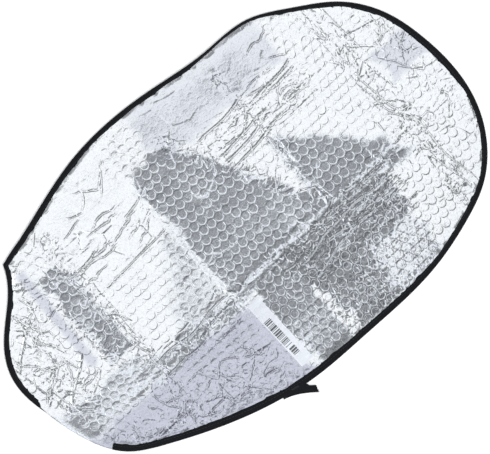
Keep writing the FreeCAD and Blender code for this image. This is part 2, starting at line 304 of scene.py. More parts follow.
# lines pressed into the film that don't fold in use: two across the pad and one along it
LEFT_PRESS_X = -221.0
RIGHT_PRESS_X = 171.0
PRESS_LINE_Y = -50.0

# regions of the face film that differ in tone or in their cells: corners, and how soft the border is
REGIONS = {
    "left_bay": (((-207, -14), (-173, -14), (-174, 122), (-207, 118)), 5.0),
    "centre": (((-56, -58), (96, -58), (94, -24), (46, 58), (2, 134), (-50, 134)), 5.0),
    "right_bay": (((88, -62), (232, -62), (196, -30), (172, 46), (96, 52)), 8.0),
    "beside_centre": (((-150, -60), (-52, -60), (-52, 66), (-82, 44), (-112, -6)), 14.0),
    "strip": (((-190, -66), (-52, -66), (-52, -42), (-190, -36)), 6.0),
    "left_foot": (((-292, -62), (-176, -62), (-178, -24), (-300, -16)), 6.0),
    "lower_centre": (((-34, -190), (25, -190), (25, -48), (-34, -48)), 4.0),
    "lower_right": (((20, -190), (156, -190), (168, -46), (16, -46)), 5.0),
    "glint_patch": (((76, -190), (152, -190), (162, -116), (96, -116)), 10.0),
    "lower_left": (((-280, -120), (-44, -210), (-42, -64), (-292, -60)), 5.0),
    "upper": (((-12, 112), (170, 112), (167, 190), (-12, 196)), 6.0),
    "right_side": (((246, 6), (302, 6), (302, 44), (246, 48)), 4.0),
    "smooth_left": (((-166, 66), (-60, 66), (-60, 200), (-176, 184)), 6.0),
    "bright_patch": (((160, -158), (206, -158), (228, -84), (161, -84)), 3.0),
    "bright_wedge": (((14, -176), (33, -176), (25, -104), (20, -104)), 2.5),
}
# how grey the film looks, from 0 (bright) to 1 (grey) and on to the limit (dim): painted reflection shade
# in the film's colour, which also tilts its shading normal
REGION_TONES = {
    "upper": 0.26, "right_side": 0.34, "lower_left": 0.55, "beside_centre": 0.66, "left_foot": 0.86,
    "strip": 0.94, "centre": 0.96, "left_bay": 0.98, "right_bay": 1.08, "lower_centre": 1.15,
    "lower_right": 1.36,
}
OPEN_TONE = 0.04
GLINT_TONE = 0.62
TONE_LIMIT = 1.5

# bands of crumpled film: how crushed the cells are, the band's two ends, and its half width
CRUMPLED_BANDS = (
    (1.0, (LEFT_END - 2, 140), (LEFT_END - 8, -120), 20.0),
    (1.0, (LEFT_PRESS_X - 8, 150), (LEFT_PRESS_X + 22, -20), 16.0),
    (1.0, (4, 136), (98, -40), 17.0),
    (1.0, (RIGHT_INNER, 150), (RIGHT_INNER - 4, -60), 10.0),
    (0.8, (RIGHT_END + 2, 140), (RIGHT_END - 8, -150), 24.0),
    (0.9, (-200, -52), (280, -44), 17.0),
    (0.8, (20, -70), (170, -78), 24.0),
    (0.5, (30, 92), (168, 84), 34.0),
    (0.3, (-150, 96), (-66, 96), 46.0),
    (0.75, (-262, 60), (-262, -20), 34.0),
    (0.7, (-230, -90), (-80, -130), 40.0),
    (0.4, (268, 90), (282, -60), 24.0),
)

# groups of single wrinkles: middle, spread each way, direction and swing in degrees, length, count, seed
WRINKLE_GROUPS = (
    ((-112, 150), (44, 30), 12, 50, 60.0, 9, 201),
    ((-112, 96), (44, 24), 6, 14, 60.0, 12, 211),
    ((-262, 44), (26, 60), 70, 60, 66.0, 18, 221),
    ((262, 60), (22, 70), 100, 50, 56.0, 14, 231),
    ((110, 110), (56, 50), 0, 50, 50.0, 12, 241),
    ((-160, -112), (80, 34), -20, 60, 40.0, 26, 251),
    ((200, 20), (24, 90), 95, 40, 44.0, 10, 261),
)


def lift(x):
    """How far the pad stands off the floor: creases that fold down keep a slight ridge, others a dip."""
    stations = (-305.0, LEFT_END, LEFT_INNER, RIGHT_INNER, RIGHT_END, 306.0)
    heights = (0.1, 1.0, 0.0, 1.0, 0.0, 0.5)
    return np.interp(x, stations, heights)


def zone_masks(x, y):
    """A soft, slightly wavy mask of each region."""
    wavy_x = x + 6.0 * noise(x, y, 22.0, seed=31) + 4.0 * noise(x, y, 9.0, seed=32)
    wavy_y = y + 6.0 * noise(x, y, 24.0, seed=33) + 4.0 * noise(x, y, 9.5, seed=34)
    return {name: zone(wavy_x, wavy_y, corners, soft) for name, (corners, soft) in REGIONS.items()}


def painted_violet_reflection(x, y, masks):
    """Where a faintly violet reflection of the room is painted into the film's colour, from 0 to 1."""
    parts = (0.95 * masks["lower_left"], 0.40 * masks["upper"], 0.5 * masks["right_side"],
             0.7 * band(x, y, (-216, 130), (-222, 6), 9.0))
    return np.max(parts, axis=0)


def tone(x, y, masks):
    """How grey the film looks from one creased bay to the next: it sets the bay's tilt of the shading
    normal, and it is painted into the film's colour as painted reflection shade, bright to grey.
    """
    value = np.full_like(x, OPEN_TONE)
    for name, level in REGION_TONES.items():
        value = np.maximum(value, level * masks[name])
    value += (GLINT_TONE - value) * masks["glint_patch"]
    value *= 1.0 - masks["bright_patch"]
    value *= 1.0 - masks["bright_wedge"]
    value += 0.10 * noise(x, y, 30.0, seed=41) * (value > 0.1) + 0.05 * noise(x, y, 9.0, seed=42)
    return np.clip(value, 0.0, TONE_LIMIT)


def crease_lines(x, y):
    """1 on each crease, 0 beside it: the folds, the lines pressed across the pad, and the one along it."""
    drift = 1.6 * noise(x, y, 40.0, seed=51) + 0.8 * noise(x, y, 11.0, seed=52)

    def line(away, half_width):
        return 1.0 - smoothstep(0.0, half_width, np.abs(away))

    lines = np.max([line(x + drift - crease_x, 5.0) for crease_x in CREASE_X], axis=0)
    pressed_left = line(x + drift - LEFT_PRESS_X - 0.12 * (140 - y), 4.0) * smoothstep(-30.0, 20.0, y)
    pressed_right = line(x + drift - RIGHT_PRESS_X, 4.0)
    pressed_along = line(y + 2.0 * drift - PRESS_LINE_Y - 0.02 * x, 5.0)
    return np.max([lines, 0.6 * pressed_left, 0.5 * pressed_right, 0.6 * pressed_along], axis=0)


def crumple_share(x, y):
    """Where the film is crumpled: 0 where it is smooth over whole cells, 1 where the cells are crushed."""
    share = np.zeros_like(x)
    for level, start, end, half_width in CRUMPLED_BANDS:
        share = np.maximum(share, level * band(x, y, start, end, half_width))
    return share


def cell_height(x, y, amount):
    """The raised caps of the air cells, from 0 to about 1: level on top, with a narrow slope round each."""
    row_low = np.floor(y / CELL_ROW)
    best = np.full_like(x, 1e9)
    near_x, near_y = np.zeros_like(x), np.zeros_like(x)
    column_of, row_of = np.zeros(x.shape, np.int64), np.zeros(x.shape, np.int64)
    for row in (row_low, row_low + 1):
        stagger = 0.5 * np.mod(row, 2)
        column = np.round(x / CELL_PITCH - stagger)
        dx = x - (column + stagger) * CELL_PITCH
        dy = y - row * CELL_ROW
        closer = dx * dx + dy * dy < best
        best = np.where(closer, dx * dx + dy * dy, best)
        near_x, near_y = np.where(closer, dx, near_x), np.where(closer, dy, near_y)
        column_of = np.where(closer, column, column_of).astype(np.int64)
        row_of = np.where(closer, row, row_of).astype(np.int64)
    # cells differ in strength, and one in twenty has lost its air
    strength = 0.55 + 0.6 * cell_random(column_of, row_of, 62)
    strength = np.where(cell_random(column_of, row_of, 61) < 0.05, 0.15, strength)
    tilt_x = cell_random(column_of, row_of, 63) - 0.5
    tilt_y = cell_random(column_of, row_of, 64) - 0.5
    away = np.sqrt(best) / CELL_RADIUS
    cap = 1.0 - smoothstep(0.88, 1.05, away)
    crown = 0.16 * (1.0 - np.clip(away, 0, 1) ** 2)
    tuck_mark = -0.34 * np.exp(-((near_x + 1.6 * tilt_x) / 0.7) ** 2 - ((near_y + tilt_y) / 1.9) ** 2)
    lean = 0.10 * (tilt_x * near_x + tilt_y * near_y) / CELL_RADIUS * cap
    return amount * strength * (cap + crown * cap + tuck_mark * cap + lean)


def cell_relief(x, y, inset, masks, tones, crumple, creases):
    """The cells' relief: weaker in bright film, in smooth stretches, where crushed and near the rim."""
    depth = 0.30 - 0.06 * (1.0 - smoothstep(0.20, 0.75, tones))
    depth += 0.26 * np.maximum(masks["lower_right"], masks["lower_centre"])
    depth *= (1.0 - 0.75 * masks["upper"]) * (1.0 - 0.85 * masks["smooth_left"])
    depth *= (1.0 - 0.75 * crumple) * (1.0 - 0.9 * creases)
    depth *= smoothstep(6.0, 15.0, inset)
    return cell_height(x, y, depth) - depth


def crumple_relief(x, y, masks, crumple):
    """Facets of crumpled film, from small to wide, and the crushed and glinting film at the lower right."""
    bent_x = x + 6.0 * noise(x, y, 50.0, seed=71)
    bent_y = y + 6.0 * noise(x, y, 50.0, seed=72)
    relief = 1.9 * crumple * facets(bent_x, bent_y, 11.0, seed=73)
    relief += 0.75 * crumple * facets(bent_x, bent_y, 4.6, seed=77)
    relief += 3.4 * (0.25 + 0.75 * crumple) * facets(bent_x, bent_y, 34.0, seed=81, sharp=34.0)
    crushed = masks["lower_right"] * smoothstep(-90.0, -120.0, y - 0.3 * (x - 100.0))
    crushed_depth = 0.35 * masks["lower_right"] + 0.55 * crushed
    relief += crushed_depth * facets(x, y, 6.5, seed=79, degrees=60.0, stretch=2.0)
    glinting = np.maximum(masks["lower_right"], 0.5 * masks["lower_centre"]) + 0.5 * crushed
    return relief + 0.24 * glinting * noise(x, y, 3.4, seed=83)


def wrinkle_relief(x, y):
    """Long wrinkles: sets that run side by side, and single ones."""
    upper_left = zone(x, y, [(-158, 56), (-60, 52), (-60, 124), (-156, 120)], 9.0)
    upper_right = zone(x, y, [(40, 56), (172, 56), (170, 122), (34, 120)], 9.0)
    lower_right = zone(x, y, [(26, -104), (176, -104), (176, -44), (26, -52)], 8.0)
    lower_left = zone(x, y, [(-170, -84), (-60, -84), (-60, -36), (-174, -36)], 8.0)
    wide = np.max([0.6 * upper_left, upper_right, lower_right, 0.8 * lower_left], axis=0)
    relief = 0.9 * wide * (ridges(x, y, 10.0, 80.0, 4.0, seed=91, thin=4.0) - 0.25)
    narrow = np.maximum(lower_right, 0.6 * upper_right)
    relief += 0.4 * narrow * (ridges(x, y, 5.0, 40.0, -8.0, seed=93) - 0.3)

    left_crumple = zone(x, y, [(-300, -20), (-222, -20), (-228, 116), (-286, 96)], 8.0)
    relief += 0.9 * left_crumple * (ridges(x, y, 22.0, 90.0, 40.0, seed=95, thin=5.0) - 0.2)
    relief += 0.9 * left_crumple * (ridges(x, y, 24.0, 90.0, 102.0, seed=97, thin=5.0) - 0.2)
    upright = np.maximum(band(x, y, (RIGHT_END, 150), (RIGHT_END - 6, -150), 26.0),
                         band(x, y, (LEFT_END, 140), (LEFT_END - 8, -140), 14.0))
    relief += 0.8 * upright * (ridges(x, y, 6.0, 60.0, 92.0, seed=99) - 0.3)
    return relief + 0.55 * np.max([cracks(x, y, *group) for group in WRINKLE_GROUPS], axis=0)


def face_heights(x, y, inset, place):
    """Height of the face film above the floor at each point, and the film's tone and painted violet
    reflection there.
    """
    masks = zone_masks(x, y)
    tones = tone(x, y, masks)
    creases = crease_lines(x, y)
    crumple = crumple_share(x, y)
    relief = cell_relief(x, y, inset, masks, tones, crumple, creases)
    relief += crumple_relief(x, y, masks, crumple) + wrinkle_relief(x, y)

    near_rim = 1.0 - smoothstep(8.0, 24.0, inset)
    along = RIM_S[place]
    puckers = noise(along, inset * 0.25, 6.5, seed=101) * smoothstep(5.0, 9.0, inset)
    relief += 0.55 * near_rim * puckers
    # the film slopes down to the rim, so near it the bays mirror a lower or a higher part of the room; this
    # shift of tone is also painted into the film's colour as painted reflection shade
    tones = np.clip(tones + 0.35 * near_rim * RIM_IN[place, 1], 0.0, TONE_LIMIT)

    # the film rises steeply from under the tape, then slowly to its full height
    tuck = TUCK[place]
    under_tape = TAPE_SHOWN[place] * 0.75 * (1 - tuck)
    step_up = smoothstep(0.0, 1.0, np.clip((inset - under_tape) / 6.0, 0, 1)) ** 0.7
    steep = 0.22 + 0.08 * noise(along, 0 * along, 17.0, seed=103)
    pillow = steep * step_up + (1.0 - steep) * smoothstep(6.0, 80.0, inset)
    full = (FACE_Z - RIM_Z) * (1.0 - 0.22 * creases)
    height = RIM_Z + full * pillow + np.maximum(relief, -0.9 * full * pillow) * step_up

    # where the tape is rolled under, the film itself makes the rounded edge
    rolled = RIM_Z + 1.1 * np.sqrt(np.clip(1.0 - (1.0 - np.clip(inset, 0, 6.0) / 6.0) ** 2, 0, 1))
    rolled += np.maximum(relief, -0.9) * smoothstep(6.0, 12.0, inset)
    height = np.where(tuck > 0, np.maximum(height, height * (1 - tuck) + rolled * tuck), height)
    return height + lift(x), tones, painted_violet_reflection(x, y, masks)


def back_heights(x, y, inset, place):
    """Height of the back film, which lies nearly flat, and its tone: half the face film's painted
    reflection shade, with no painted violet reflection.
    """
    ripple = 0.10 + 0.10 * noise(x, y, 16.0, seed=111)
    ripple += 0.7 * facets(x, y, 30.0, seed=113) * smoothstep(6.0, 20.0, inset)
    height = BACK_Z + np.maximum(ripple, 0.0) + 0.35 * crease_lines(x, y)
    over_tape = TUCK[place] * (1.0 - smoothstep(9.0, 14.0, inset))
    # half the face film's painted reflection shade, painted into the back film's colour
    tones = 0.5 * tone(x, y, zone_masks(x, y))
    return height + TAPE_THICKNESS * over_tape + lift(x), tones, 0.0 * x


# ---- objects and meshes

# a sheet or tape piece reaches from the middle of one panel to the middle of the next, round one fold
SPLITS = [-1e9] + [(first + second) / 2 for first, second in zip(CREASE_X, CREASE_X[1:])] + [1e9]


def add_object(name, data):
    item = bpy.data.objects.new(name, data)
    bpy.context.scene.collection.objects.link(item)
    return item


def mesh_object(name, points, faces):
    """A smooth-shaded object from points in millimetres."""
    mesh = bpy.data.meshes.new(name)
    scaled = np.array(points, float) * MM
    mesh.from_pydata([tuple(p) for p in scaled], [], [tuple(int(i) for i in f) for f in faces])
    mesh.polygons.foreach_set("use_smooth", [True] * len(mesh.polygons))
    mesh.update()
    return add_object(name, mesh)


def add_shape(points, faces, shape):
    """Adds another shape's points and faces to those of a mesh in the making."""
    more_points, more_faces = shape
    faces += [tuple(i + len(points) for i in face) for face in more_faces]
    points += more_points


def set_float(piece, name, values):
    attribute = piece.data.attributes.new(name, "FLOAT", "POINT")
    attribute.data.foreach_set("value", np.asarray(values, np.float32))


def bend_at_fold(piece, crease):
    joint = HINGES[crease + "_fold"]
    left_body, right_body = joint["parent"], joint["child"]
    if crease.startswith("left"):
        left_body, right_body = right_body, left_body
    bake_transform(piece)


def grid_faces(row_at, column_at, width):
    """The quads of a grid that start at the given rows and columns."""
    corner = row_at * width + column_at
    return np.stack([corner, corner + 1, corner + 1 + width, corner + width], 1)


def sweep_faces(pairs, sides):
    """The quads between pairs of rings, where each ring has a number of points on it."""
    return [(first * sides + side, first * sides + (side + 1) % sides,
             second * sides + (side + 1) % sides, second * sides + side)
            for first, second in pairs for side in range(sides)]


def tube_faces(rings, sides):
    """Faces of a tube made of a number of rings, with a cap at each end."""
    last = (rings - 1) * sides
    caps = [tuple(range(sides))[::-1], tuple(range(last, last + sides))]
    return sweep_faces(zip(range(rings - 1), range(1, rings)), sides) + caps


# ---- the two films

FACE_STEP = 0.58
BACK_STEP = 1.5
# how far inside the rim a film ends: in the tape's fold, or over the tape where that is rolled under
FILM_EDGE_INSET = 3.0
BARE_EDGE_INSET = 0.4


def sheet_pieces(name, step, heights, facing, halves):
    """A film as meshes on one grid, round each fold, with the same points and normals where they meet."""
    reach_x, reach_y = np.abs(RIM).max(0) + 2 * step
    columns = np.arange(-reach_x, reach_x, step)
    rows = np.arange(-reach_y, reach_y, step)
    x, y = np.meshgrid(columns, rows)
    inset, place = nearest_rim(x, y)
    height, tones, violet_reflections = heights(x, y, inset, place)
    slope_y, slope_x = np.gradient(height, step, step)
    normal = np.stack([-slope_x, -slope_y, np.ones_like(x)], -1)
    normal *= facing / np.linalg.norm(normal, axis=-1, keepdims=True)
    # painted shade: where the film's folds are hollow, its colour is darkened as if shade fell there
    hollow = np.gradient(slope_x, step, axis=1) + np.gradient(slope_y, step, axis=0)
    painted_fold_shade = smoothstep(0.16, 0.8, hollow * facing)

    limit = FILM_EDGE_INSET * (1.0 - TUCK[place]) + BARE_EDGE_INSET * TUCK[place]
    kept = inset >= limit
    cells = kept[:-1, :-1] & kept[:-1, 1:] & kept[1:, :-1] & kept[1:, 1:]
    touched = np.zeros(x.shape, np.int64)
    for row_step in (0, 1):
        for column_step in (0, 1):
            window = touched[row_step:row_step + cells.shape[0], column_step:column_step + cells.shape[1]]
            window += cells
    border = (touched > 0) & (touched < 4)
    # border points go out to the sheet's own edge line, so that the edge is smooth
    pull = np.where(border & (inset < limit + 2.5 * step), inset - limit, 0.0)
    x = x - pull * RIM_IN[place, 0]
    y = y - pull * RIM_IN[place, 1]

    pieces = []
    points = np.stack([x.ravel(), y.ravel(), height.ravel()], 1)
    middle_x = (columns[:-1] + columns[1:]) / 2
    middle_y = (rows[:-1] + rows[1:]) / 2
    rows_of = {"whole": middle_y < np.inf, "upper": middle_y >= 0, "lower": middle_y < 0}
    for number, crease in enumerate(CREASES):
        inside = (middle_x >= SPLITS[number]) & (middle_x < SPLITS[number + 1])
        for half in halves:
            own = cells & inside[None, :] & rows_of[half][:, None]
            quads = grid_faces(*np.nonzero(own), len(columns))
            if facing < 0:
                quads = quads[:, ::-1]
            used, flat = np.unique(quads, return_inverse=True)
            piece = mesh_object(f"{name}_{crease}_{half}", points[used], flat.reshape(-1, 4))
            for attribute, values in (("tone", tones), ("violet_reflection", violet_reflections), ("painted_fold_shade", painted_fold_shade)):
                set_float(piece, attribute, values.ravel()[used])
            own_normals = normal.reshape(-1, 3)[used]
            piece.data.normals_split_custom_set_from_vertices([tuple(n) for n in own_normals])
            bend_at_fold(piece, crease)
            pieces.append(piece)
    return pieces


# ---- the edge tape and its seam

OUTER_FOLD_DEPTH = 0.8
INNER_FOLD_DEPTH = 0.5
STITCH_PITCH = 3.4
STITCH_LENGTH = 2.7
STITCH_RADIUS = 0.24
SEAM_INSET = 5.2


def tape_section(shown, ripple, tuck):
    """The folded strip's cross-section: (inset, height) points round its outside, then back inside."""
    top = TAPE_TOP_Z - 0.02

    def fold(at, depth, half_height):
        turns = [math.radians(degrees) for degrees in range(-90, 91, 30)]
        return [(at - depth * math.cos(a), top / 2 + half_height * math.sin(a)) for a in turns]

    shares = (1.0, 0.85, 0.5, 0.2)
    section = [(share * shown, 0.0) for share in shares]
    section += fold(OUTER_FOLD_DEPTH, OUTER_FOLD_DEPTH, top / 2)
    section += [(share * shown, top + ripple * share) for share in reversed(shares)]
    section += [(shown + 0.05, top - TAPE_THICKNESS * 0.5)]
    section += [(share * shown, top - TAPE_THICKNESS + ripple * share) for share in shares[:3]]
    section += reversed(fold(OUTER_FOLD_DEPTH + TAPE_THICKNESS, INNER_FOLD_DEPTH, top / 2 - TAPE_THICKNESS))
    section += [(share * shown, TAPE_THICKNESS) for share in reversed(shares[:3])]
    section += [(shown + 0.05, TAPE_THICKNESS * 0.5)]
    # rolled under, the tape lies flat beneath the pad's edge
    return [(inset + tuck * 1.6, height * (1 - 0.42 * tuck)) for inset, height in section]


def tape_pieces():
    """The tape, swept round the rim."""
    ripple = 0.10 * noise(RIM_S, RIM_S * 0, 9.0, seed=121)
    sections = np.array([tape_section(*values) for values in zip(TAPE_SHOWN, ripple, TUCK)])
    count, ring = sections.shape[:2]
    inset, height = sections[:, :, 0], sections[:, :, 1]
    x = RIM[:, None, 0] + RIM_IN[:, None, 0] * inset
    y = RIM[:, None, 1] + RIM_IN[:, None, 1] * inset
    points = np.stack([x.ravel(), y.ravel(), (height + lift(x)).ravel()], 1)
    across = np.cumsum(np.r_[0, np.hypot(*np.diff(sections[0], axis=0).T)])

    pieces = []
    for number, crease in enumerate(CREASES):
        inside = (RIM[:, 0] >= SPLITS[number]) & (RIM[:, 0] < SPLITS[number + 1])
        places = np.nonzero(inside)[0]
        faces = sweep_faces(zip(places, (places + 1) % count), ring)
        used, flat = np.unique(faces, return_inverse=True)
        piece = mesh_object("edge_tape_" + crease, points[used], flat.reshape(-1, 4))
        set_float(piece, "weave_along", np.repeat(RIM_S, ring)[used])
        set_float(piece, "weave_across", np.tile(across, count)[used])
        bend_at_fold(piece, crease)
        pieces.append(piece)
    return pieces


def stitch(centre, along, length, squash):
    """A short stitch: a rounded bar of thread lying along a direction."""
    along = Vector((along[0], along[1], 0.0))
    across = Vector((-along.y, along.x, 0.0))
    sides = 6
    points = []
    stations = ((-0.5, 0.25), (-0.42, 0.75), (-0.15, 1.0), (0.15, 1.0), (0.42, 0.75), (0.5, 0.25))
    for share, size in stations:
        for side in range(sides):
            angle = 2 * math.pi * side / sides
            offset = across * (STITCH_RADIUS * size * math.cos(angle))
            rise = Vector((0, 0, squash * STITCH_RADIUS * size * math.sin(angle)))
            points.append(centre + along * (share * length) + offset + rise)
    return points, tube_faces(len(stations), sides)


def stitch_pieces():
    """The seam: one stitch after another along the tape, on both of its faces."""
    pieces = []
    every = max(1, int(round(STITCH_PITCH / RIM_STEP)))
    places = [p for p in range(0, len(RIM), every) if TUCK[p] < 0.3]
    for number, crease in enumerate(CREASES):
        points, faces = [], []
        for place in places:
            inset = min(SEAM_INSET, TAPE_SHOWN[place] - 1.2) + 0.25 * (cell_random(place, 3, 131) - 0.5)
            spot = RIM[place] + RIM_IN[place] * inset
            if SPLITS[number] <= spot[0] < SPLITS[number + 1]:
                for level in (TAPE_TOP_Z + 0.03, 0.04):
                    centre = Vector((spot[0], spot[1], level + float(lift(spot[0]))))
                    add_shape(points, faces, stitch(centre, RIM_ALONG[place], STITCH_LENGTH, 0.6))
        piece = mesh_object("seam_" + crease, points, faces)
        bend_at_fold(piece, crease)
        pieces.append(piece)
    return pieces


# ---- label, tape end and tack

LABEL_ROW = 0.8
LABEL_COLUMNS = (0.0, 0.08, 0.16, 0.3, 0.45, 0.62, 0.8, 0.92, 1.0)


def label_piece(film, ink):
    """The printed strip, draped over the cells, with a stack of plain bars printed on it."""
    low, high = (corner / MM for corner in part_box("printed_label"))
    columns = np.array(LABEL_COLUMNS) * (high.x - low.x) + low.x
    rows = np.arange(low.y, high.y + LABEL_ROW / 2, LABEL_ROW)
    x, y = np.meshgrid(columns, rows)
    height = face_heights(x, y, *nearest_rim(x, y))[0]
    # the strip is stiffer than the film, so it bridges the small dips
    height[1:-1] = np.maximum(height[1:-1], (height[:-2] + height[2:]) / 2)
    height[:, 1:-1] = np.maximum(height[:, 1:-1], (height[:, :-2] + height[:, 2:]) / 2)
    curl = 0.5 * smoothstep(high.y - 6.0, high.y, y) * smoothstep(high.x - 8.0, high.x, x)
    height = height + 0.12 + curl
    row_at, column_at = np.indices((len(rows) - 1, len(columns) - 1)).reshape(2, -1)
    faces = grid_faces(row_at, column_at, len(columns))
    piece = mesh_object("printed_label_strip", np.stack([x.ravel(), y.ravel(), height.ravel()], 1), faces)
    inked = cell_random(row_at, 0 * row_at, 141) > 0.45
    below_top = high.y - rows[row_at]
    long_bar = (below_top > 26.0) & (below_top < 64.0) & (column_at >= 1)
    short_bar = (below_top > 67.0) & (below_top < 77.0) & (column_at >= 2)
    printed = inked & (long_bar | short_bar) & (column_at <= 4)
    piece.data.materials.append(film)
    piece.data.materials.append(ink)
    piece.data.polygons.foreach_set("material_index", printed.astype(np.int32))
    bend_at_fold(piece, "left_inner")
    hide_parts("printed_label")


TAIL_ROOT = Vector((-91.0, -168.5))
TAIL_BEND = Vector((-75.5, -171.8))
TAIL_TIP = Vector((-55.6, -189.0))
TAIL_LENGTH = 44.0
TAIL_HALF_WIDTH = 4.2
TAIL_SLANT = 1.5
TAIL_FLARE = 3.0
TAIL_STATIONS = 30
TAIL_LANES = 13
FIBRE_COUNT = 9
FIBRE_RADIUS = 0.09


def fibre(number, direction, across, share):
    """A loose fibre at the tape's cut end: a thin bent tube, as points and faces."""
    root = TAIL_TIP + across * share * TAIL_HALF_WIDTH * 0.95 - direction * (TAIL_SLANT * share + 0.6)
    start = Vector((root.x, root.y, 1.05))
    length = 1.0 + 2.4 * cell_random(number, 2, 161)
    swing = 1.6 * (cell_random(number, 3, 161) - 0.5)
    rise = 0.15 * (cell_random(number, 4, 161) - 0.3)
    points = []
    for step in range(4):
        t = step / 3
        flat = direction * (length * t) + across * (swing * t * t)
        spot = start + Vector((flat.x, flat.y, rise * step))
        for side in range(4):
            angle = math.pi / 2 * side
            spoke = Vector((math.cos(angle), math.sin(angle) * 0.6, math.sin(angle)))
            points.append(spot + spoke * FIBRE_RADIUS)
    return points, tube_faces(4, 4)


def tail_rings():
    """Rings of points along the tail, each back over its top and on below, and their places on the tape."""
    points, alongs, acrosses = [], [], []
    shares = [2 * lane / (TAIL_LANES - 1) - 1 for lane in range(TAIL_LANES)]
    for station in range(TAIL_STATIONS + 1):
        t = station / TAIL_STATIONS
        spot = TAIL_ROOT * (1 - t) ** 2 + TAIL_BEND * (2 * t * (1 - t)) + TAIL_TIP * t ** 2
        along = ((TAIL_BEND - TAIL_ROOT) * (1 - t) + (TAIL_TIP - TAIL_BEND) * t).normalized()
        across = Vector((-along.y, along.x))
        flare = TAIL_FLARE * float(smoothstep(0.40, 0.60, t) - smoothstep(0.74, 0.86, t))
        top, low = [], []
        for lane, share in enumerate(shares):
            fray = 0.35 * (cell_random(lane, 7, 151) - 0.5) * (station == TAIL_STATIONS)
            ahead = fray - TAIL_SLANT * share * t ** 6
            place = spot + across * (share * TAIL_HALF_WIDTH + max(share, 0.0) * flare) + along * ahead
            thick = 0.46 * math.sqrt(max(0.0, 1 - abs(share) ** 8)) + 0.04
            rise = 0.75 + 0.25 * t + 0.35 * t * share + 0.12 * math.sin(9 * t + 2 * share)
            top.append((place.x, place.y, rise + thick))
            low.append((place.x, place.y, max(0.05, rise - thick)))
        points += top[::-1] + low
        alongs += [t * TAIL_LENGTH] * (2 * TAIL_LANES)
        acrosses += [share * TAIL_HALF_WIDTH for share in shares[::-1] + shares]
    return points, alongs, acrosses


def tail_piece(material):
    """The tape's free end: it leaves the rim in a gentle bend and ends in a slanted, frayed cut."""
    points, alongs, acrosses = tail_rings()
    ring = 2 * TAIL_LANES
    faces = sweep_faces(zip(range(TAIL_STATIONS), range(1, TAIL_STATIONS + 1)), ring)
    for lane in range(TAIL_LANES - 1):
        end = (lane, lane + 1, ring - 2 - lane, ring - 1 - lane)
        faces += [end[::-1], tuple(corner + TAIL_STATIONS * ring for corner in end)]
    direction = (TAIL_TIP - TAIL_BEND).normalized()
    across = Vector((-direction.y, direction.x))
    for number in range(FIBRE_COUNT):
        share = 2 * cell_random(number, 1, 161) - 1
        shape = fibre(number, direction, across, share)
        alongs += [TAIL_LENGTH + 0.3 * number] * len(shape[0])
        acrosses += [share * TAIL_HALF_WIDTH] * len(shape[0])
        add_shape(points, faces, shape)
    piece = mesh_object("tape_end_strip", points, faces)
    set_float(piece, "weave_along", alongs)
    set_float(piece, "weave_across", acrosses)
    piece.data.materials.append(material)
    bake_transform(piece)
    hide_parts("tape_tail")


def tack_piece(material):
    """Close zigzag stitches that hold the tape's end at the rim."""
    low, high = (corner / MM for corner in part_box("tail_tack"))
    points, faces = [], []
    count = 14
    for number in range(count):
        share = (number + 0.5) / count
        middle = Vector((low.x + (high.x - low.x) * share, (low.y + high.y) / 2 + 0.9 - 1.8 * share, 0))
        middle.z = TAPE_TOP_Z + 0.05 + float(lift(middle.x))
        direction = Vector((0.22 if number % 2 else -0.22, 1.0)).normalized()
        add_shape(points, faces, stitch(middle, direction, 3.0, 0.7))
    piece = mesh_object("tape_end_tack", points, faces)
    piece.data.materials.append(material)
    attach(piece, "left_inner_panel")
    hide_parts("tail_tack")


# ---- materials

class Graph:
    """A short way to write shader nodes."""

    def __init__(self, tree):
        self.tree = tree
        tree.nodes.clear()

    def add(self, kind, inputs=(), **settings):
        """A node. Its inputs are pairs of a socket, and a value or the output that makes it."""
        node = self.tree.nodes.new(kind)
        for name, value in settings.items():
            setattr(node, name, value)
        for socket, source in inputs:
            if isinstance(source, (int, float, tuple)):
                node.inputs[socket].default_value = source
            else:
                self.tree.links.new(source, node.inputs[socket])
        return node

    def value(self, operation, *terms, clamp=False):
        return self.add("ShaderNodeMath", enumerate(terms), operation=operation, use_clamp=clamp).outputs[0]

    def times(self, first, second):
        return self.value("MULTIPLY", first, second)

    def scaled(self, source, factor, offset, clamp=False):
        return self.value("MULTIPLY_ADD", source, factor, offset, clamp=clamp)

    def mix(self, share, first, second):
        node = self.add("ShaderNodeMix", [("Factor", share), (6, first), (7, second)], data_type="RGBA")
        return node.outputs[2]

    def ramp(self, source, low, high):
        """0 at low, 1 at high, smooth between."""
        inputs = [("Value", source), ("From Min", low), ("From Max", high)]
        return self.add("ShaderNodeMapRange", inputs, interpolation_type="SMOOTHSTEP").outputs[0]

    def attribute(self, name):
        return self.add("ShaderNodeAttribute", attribute_name=name).outputs["Fac"]

    def noise(self, size, detail=3.0, rough=0.5):
        inputs = [("Vector", self.place), ("Scale", 1.0 / size), ("Detail", detail), ("Roughness", rough)]
        return self.add("ShaderNodeTexNoise", inputs).outputs["Fac"]

    def bump(self, height, depth, below=None):
        inputs = [("Height", height), ("Distance", depth * MM), ("Strength", 1.0)]
        if below is not None:
            inputs.append(("Normal", below))
        return self.add("ShaderNodeBump", inputs).outputs["Normal"]

    def finish(self, **inputs):
        pairs = [(name.replace("_", " "), source) for name, source in inputs.items()]
        shader = self.add("ShaderNodeBsdfPrincipled", pairs)
        self.add("ShaderNodeOutputMaterial", [("Surface", shader.outputs[0])])


def new_material(name):
    """A material and its graph, whose place is a point's place on the pad in millimetres."""
    material = bpy.data.materials.new(name)
    material.use_nodes = True
    graph = Graph(material.node_tree)
    metres = graph.add("ShaderNodeTexCoord").outputs["Object"]
    scaled = graph.add("ShaderNodeVectorMath", [(0, metres), (3, 1.0 / MM)], operation="SCALE")
    graph.place = scaled.outputs[0]
    return material, graph


def rgb(level, *rest):
    """An opaque colour, from three levels or from one for all."""
    return (level, *(rest or (level, level)), 1.0)


FILM_TILT = 0.22
DIM_TILT = 0.19


